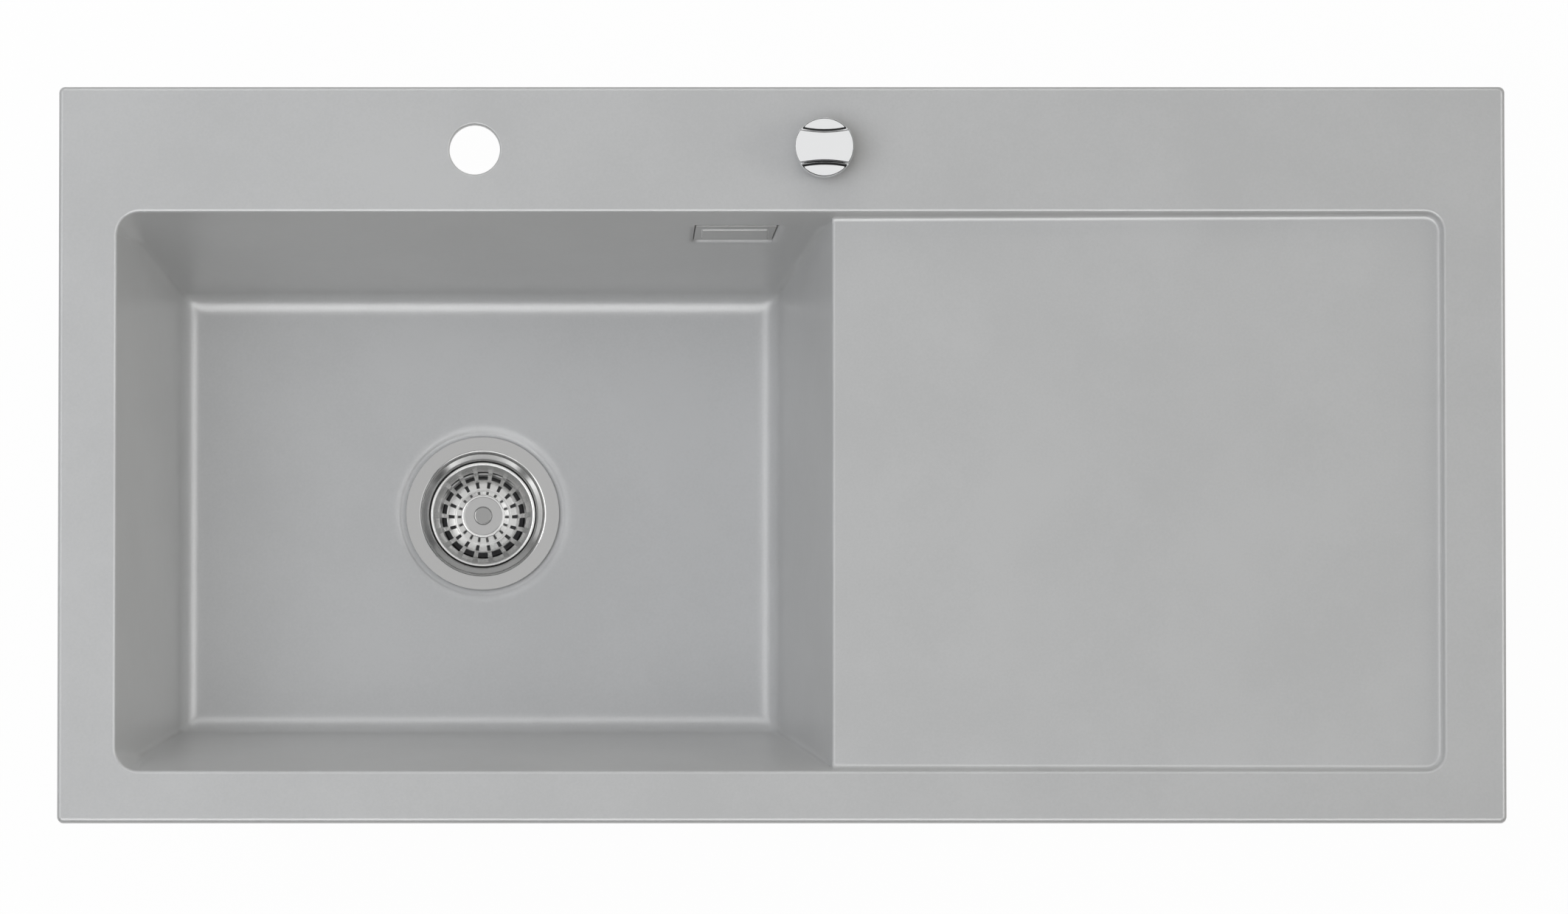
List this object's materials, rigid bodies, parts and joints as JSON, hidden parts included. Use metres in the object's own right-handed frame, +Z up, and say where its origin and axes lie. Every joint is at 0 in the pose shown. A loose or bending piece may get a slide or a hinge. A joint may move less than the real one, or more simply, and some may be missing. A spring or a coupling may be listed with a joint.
{
  "type": "kitchen sink",
  "caption": "Inset ceramic kitchen sink with a deep tapered bowl, drainer, tap hole, overflow and a basket waste raised by a turning knob",
  "frame": {"origin": "centre of the sink's outline, on the plane of the rim's underside where it meets the worktop", "axes": "+X along the sink from bowl to drainer, +Y to the back where the tap hole is, +Z up"},
  "size_m": [1, 0.51, 0.3396],
  "materials": {
    "ceramic": "satin glaze, light grey",
    "cover_grey": "satin grey to match the ceramic",
    "chrome": "polished",
    "steel": "polished stainless steel",
    "screw_steel": "plain stainless steel",
    "brass": "plain",
    "white_plastic": "moulded",
    "grey_plastic": "moulded",
    "black_plastic": "moulded",
    "rubber": "matt"
  },
  "bodies": {
    "sink": {"sink_body": "ceramic", "overflow_cover": "cover_grey", "overflow_gasket": "rubber", "overflow_head": "white_plastic", "overflow_pipe": "white_plastic", "overflow_screw_1": "screw_steel", "overflow_screw_2": "screw_steel", "upper_union_nut": "white_plastic", "upper_pipe_seal": "rubber", "lower_union_nut": "white_plastic", "lower_pipe_seal": "rubber", "flange_seal": "rubber", "strainer_bowl": "steel", "under_seal": "rubber", "waste_housing": "white_plastic", "waste_spider": "grey_plastic", "outlet_funnel": "white_plastic", "cable_bracket": "grey_plastic", "clamp_screw": "screw_steel", "shaft_seal": "rubber", "waste_cable_gland": "brass", "control_body": "grey_plastic", "control_washer": "rubber", "control_gasket": "rubber", "control_rosette": "chrome", "drum_cover": "grey_plastic", "cover_screw_1": "screw_steel", "cover_screw_2": "screw_steel", "cover_screw_3": "screw_steel", "knob_cable_gland": "brass"},
    "knob": {"control_knob": "chrome", "knob_grub_screw": "screw_steel", "control_spindle": "brass", "cable_drum": "grey_plastic", "drum_screw": "screw_steel"},
    "lift_lever": {"lift_shaft": "screw_steel", "lift_finger": "grey_plastic", "crank_arm": "grey_plastic", "crank_screw": "screw_steel"},
    "lift_pin": {"lift_pin": "screw_steel"},
    "basket": {"strainer_basket": "steel", "basket_cap": "steel", "basket_button": "steel", "basket_plug": "black_plastic", "basket_seal": "rubber"}
  },
  "joints": [
    {"name": "knob_turn", "type": "hinge", "parent": "sink", "child": "knob", "pos_m": [0.0295, 0.2115, 0.02], "axis": [0, 0, -1], "range_deg": [0, 90]},
    {"name": "lever_swing", "type": "hinge", "parent": "sink", "child": "lift_lever", "pos_m": [-0.20947, -0.04905, -0.2501], "axis": [1, 0, 0], "range_deg": [0, 21.62]},
    {"name": "pin_lift", "type": "slide", "parent": "sink", "child": "lift_pin", "axis": [0, 0, 1], "range_m": [0, 0.009]},
    {"name": "basket_lift_out", "type": "slide", "parent": "lift_pin", "child": "basket", "axis": [0, 0, 1], "range_m": [0, 0.24]}
  ],
  "couplings": [
    {"joint": "lever_swing", "follows": "knob_turn", "ratio": 0.24015},
    {"joint": "pin_lift", "follows": "knob_turn", "m_per_rad": 0.005729}
  ]
}
